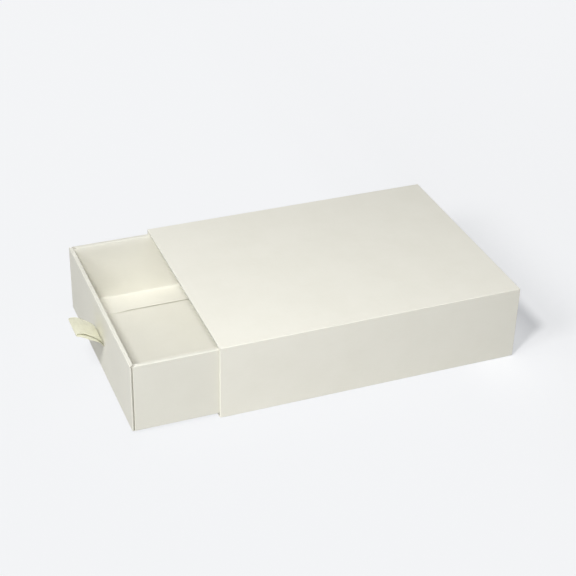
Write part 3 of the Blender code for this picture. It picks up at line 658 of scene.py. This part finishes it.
bm.to_mesh(patch_mesh)
bm.free()
patch_mesh.materials.append(ivory_lining)
patch_mesh.shade_smooth()
patch = show(patch_mesh, "ribbon_end_patch", "drawer", "ivory_lining", "ribbon_patch")
thick = patch.modifiers.new("patch paper", "SOLIDIFY")
thick.thickness = PATCH_PAPER
thick.offset = 1.0
print("patch rises by, in mm:", round((low.y - glued) / MM, 2))

# %% [markdown]
# ## Floor and light
#
# The box stands on a plain white sweep. The key light stands in front and to the right. It
# is small enough that the ribbon throws a clear shadow on the drawer. A larger one below it
# carries the box's shadow further back, a weak one near the floor opens up the side, and
# one almost overhead lays light on the lid. The world adds a little from everywhere. All
# are weak enough that the ivory paper keeps its colour with the drawer as it stands here.
# Drawn further out, the drawer comes nearer the lamps, and its floor turns almost white.

# %% Soft lights
LIGHT_DISTANCE = 1.2
WORLD_STRENGTH = 0.09


def softbox(name, azimuth, elevation, watts, size):
    """A round diffuser that faces the box from a compass angle and a height angle, in degrees."""
    azimuth, elevation = math.radians(azimuth), math.radians(elevation)
    level = math.cos(elevation)
    towards = Vector((math.cos(azimuth) * level, math.sin(azimuth) * level, math.sin(elevation)))
    light = bpy.data.lights.new(name, "AREA")
    light.shape = "DISK"
    light.size = size
    light.energy = watts
    made = bpy.data.objects.new(name, light)
    bpy.context.scene.collection.objects.link(made)
    made.location = towards * LIGHT_DISTANCE
    made.rotation_euler = (-towards).to_track_quat("-Z", "Y").to_euler()
    return made


lights = [softbox("key", azimuth=-46, elevation=52, watts=8.6, size=0.16),
          softbox("front", azimuth=-67, elevation=40, watts=3.6, size=0.45),
          softbox("side", azimuth=-15, elevation=25, watts=1.7, size=0.7),
          softbox("over", azimuth=60, elevation=78, watts=2.7, size=0.9)]
world = bpy.data.worlds.new("studio")
bpy.context.scene.world = world
world.use_nodes = True
background = world.node_tree.nodes["Background"]
background.inputs["Color"].default_value = (1.0, 1.0, 1.0, 1.0)
background.inputs["Strength"].default_value = WORLD_STRENGTH
bpy.context.scene.view_settings.view_transform = "Standard"
print("lights in watts:", {made.name: round(made.data.energy, 2) for made in lights})

# %% [markdown]
# ### A floor that is even, yet keeps the shadow
#
# A real product photograph has its backdrop evened out, with only the shadow behind the
# box left. The floor does this by itself. It is part paper, which takes the shadow, and
# part glow. The glow makes up what the lamps fail to give at each place, by the inverse
# square law, so that bare floor has the same tone all over. The share that is paper is
# large behind the box and small in front, where light thrown back by the box's own sides
# would show as a halo. Only the camera and mirrors see this: the box is lit by plain
# white paper.

# %% What the lamps lay on the bare floor
def light_on_floor(tree, lamps):
    """The light at each place of the bare floor, from round lamps that face the origin."""
    place = tree.nodes.new("ShaderNodeNewGeometry")
    total = (maths(tree, "ADD", WORLD_STRENGTH, 0.0), "Value")
    for lamp in lamps:
        away = tree.nodes.new("ShaderNodeVectorMath")
        away.operation = "SUBTRACT"
        away.inputs[0].default_value = lamp.location
        link(tree, place, "Position", away, 1)
        along = tree.nodes.new("ShaderNodeVectorMath")
        along.operation = "DOT_PRODUCT"
        along.inputs[1].default_value = lamp.location.normalized()
        link(tree, away, "Vector", along, 0)
        square = tree.nodes.new("ShaderNodeVectorMath")
        square.operation = "DOT_PRODUCT"
        link(tree, away, "Vector", square, 0)
        link(tree, away, "Vector", square, 1)
        fourth = maths(tree, "MULTIPLY", (square, "Value"), (square, "Value"))
        share = maths(tree, "DIVIDE", (along, "Value"), (fourth, "Value"))
        strength = lamp.data.energy * lamp.location.z / math.pi ** 2
        total = (maths(tree, "MULTIPLY_ADD", (share, "Value"), strength, total), "Value")
    return total


# %% The floor
FLOOR_HALF_SIZE = 12.0
FLOOR_PAPER = 0.62
SHADOW_IN_FRONT, SHADOW_BESIDE, SHADOW_BEHIND = 0.08, 0.45, 0.85
SHADOW_STEPS = [(55.0 * MM, 108.0 * MM, SHADOW_BESIDE - SHADOW_IN_FRONT),
                (120.0 * MM, 165.0 * MM, SHADOW_BEHIND - SHADOW_BESIDE)]
BACKDROP = (0.900, 0.909, 0.925)
floor_mesh = bpy.data.meshes.new("floor")
bm = bmesh.new()
bmesh.ops.create_grid(bm, x_segments=1, y_segments=1, size=FLOOR_HALF_SIZE)
bm.to_mesh(floor_mesh)
bm.free()
floor = bpy.data.objects.new("floor", floor_mesh)
bpy.context.scene.collection.objects.link(floor)
floor_finish = bpy.data.materials.new("floor_paper")
floor_finish.use_nodes = True
tree = floor_finish.node_tree
tree.nodes.clear()
plain = tree.nodes.new("ShaderNodeBsdfDiffuse")
plain.inputs["Color"].default_value = (FLOOR_PAPER, FLOOR_PAPER, FLOOR_PAPER, 1.0)
place = tree.nodes.new("ShaderNodeNewGeometry")
split = tree.nodes.new("ShaderNodeSeparateXYZ")
link(tree, place, "Position", split, "Vector")
share = maths(tree, "ADD", SHADOW_IN_FRONT, 0.0)
for start, end, gain in SHADOW_STEPS:
    step = add(tree, "ShaderNodeMapRange", interpolation_type="SMOOTHSTEP", From_Min=start, From_Max=end,
               To_Max=gain, Value=(split, "Y"))
    share = maths(tree, "ADD", (share, "Value"), (step, "Result"))
shaded = tree.nodes.new("ShaderNodeBsdfDiffuse")
link(tree, share, "Value", shaded, "Color")
given_light = maths(tree, "MULTIPLY", light_on_floor(tree, lights), (share, "Value"))
tint = tree.nodes.new("ShaderNodeVectorMath")
tint.operation = "SUBTRACT"
tint.inputs[0].default_value = BACKDROP
link(tree, given_light, "Value", tint, 1)
glow = tree.nodes.new("ShaderNodeEmission")
link(tree, tint, "Vector", glow, "Color")
evened = tree.nodes.new("ShaderNodeAddShader")
link(tree, shaded, "BSDF", evened, 0)
link(tree, glow, "Emission", evened, 1)
rays = tree.nodes.new("ShaderNodeLightPath")
seen = maths(tree, "MAXIMUM", (rays, "Is Camera Ray"), (rays, "Is Glossy Ray"))
choice = tree.nodes.new("ShaderNodeMixShader")
link(tree, seen, "Value", choice, 0)
link(tree, plain, "BSDF", choice, 1)
link(tree, evened, "Shader", choice, 2)
surface = tree.nodes.new("ShaderNodeOutputMaterial")
link(tree, choice, "Shader", surface, "Surface")
floor_mesh.materials.append(floor_finish)
print("floor:", len(tree.nodes), "nodes")
